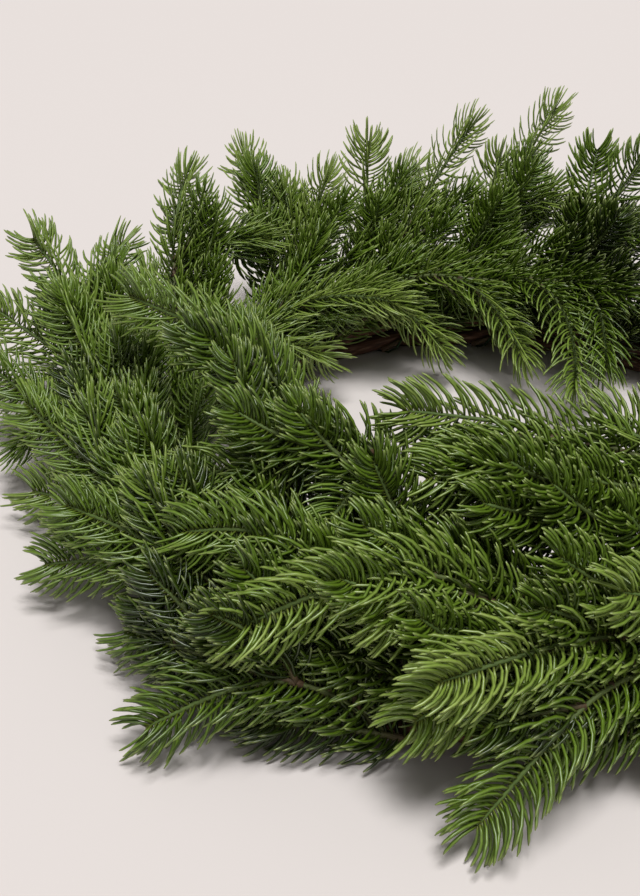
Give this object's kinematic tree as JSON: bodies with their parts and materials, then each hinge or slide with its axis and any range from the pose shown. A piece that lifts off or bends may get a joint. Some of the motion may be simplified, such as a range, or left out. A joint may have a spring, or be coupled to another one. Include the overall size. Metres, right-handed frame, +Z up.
{
  "type": "evergreen wreath",
  "caption": "Round wreath of cut fir branches bound with wire onto a ring of twisted twigs, lying flat, for a door, wall or table.",
  "frame": {"origin": "centre of the overall box in plan, on the ground plane it lies on", "axes": "+Z up out of the flat-lying wreath, +X along its longest extent, +Y away from the picture's camera"},
  "size_m": [0.6608, 0.6102, 0.1587],
  "materials": {
    "twig": "rough red-brown bark",
    "wire": "green lacquered florist's wire",
    "foliage": "waxy deep green fir needles with paler tips on thin brown-green stems"
  },
  "bodies": {
    "root": {"binding_wire": "wire", "inner_branch_0": "foliage", "inner_branch_100": "foliage", "inner_branch_120": "foliage", "inner_branch_140": "foliage", "inner_branch_160": "foliage", "inner_branch_180": "foliage", "inner_branch_20": "foliage", "inner_branch_200": "foliage", "inner_branch_220": "foliage", "inner_branch_240": "foliage", "inner_branch_260": "foliage", "inner_branch_280": "foliage", "inner_branch_300": "foliage", "inner_branch_320": "foliage", "inner_branch_340": "foliage", "inner_branch_40": "foliage", "inner_branch_60": "foliage", "inner_branch_80": "foliage", "outer_branch_0": "foliage", "outer_branch_100": "foliage", "outer_branch_120": "foliage", "outer_branch_140": "foliage", "outer_branch_160": "foliage", "outer_branch_180": "foliage", "outer_branch_20": "foliage", "outer_branch_200": "foliage", "outer_branch_220": "foliage", "outer_branch_240": "foliage", "outer_branch_260": "foliage", "outer_branch_280": "foliage", "outer_branch_300": "foliage", "outer_branch_320": "foliage", "outer_branch_340": "foliage", "outer_branch_40": "foliage", "outer_branch_60": "foliage", "outer_branch_80": "foliage", "ring_twig_1": "twig", "ring_twig_2": "twig", "ring_twig_3": "twig", "top_branch_0": "foliage", "top_branch_100": "foliage", "top_branch_120": "foliage", "top_branch_140": "foliage", "top_branch_160": "foliage", "top_branch_180": "foliage", "top_branch_20": "foliage", "top_branch_200": "foliage", "top_branch_220": "foliage", "top_branch_240": "foliage", "top_branch_260": "foliage", "top_branch_280": "foliage", "top_branch_300": "foliage", "top_branch_320": "foliage", "top_branch_340": "foliage", "top_branch_40": "foliage", "top_branch_60": "foliage", "top_branch_80": "foliage"}
  },
  "joints": []
}
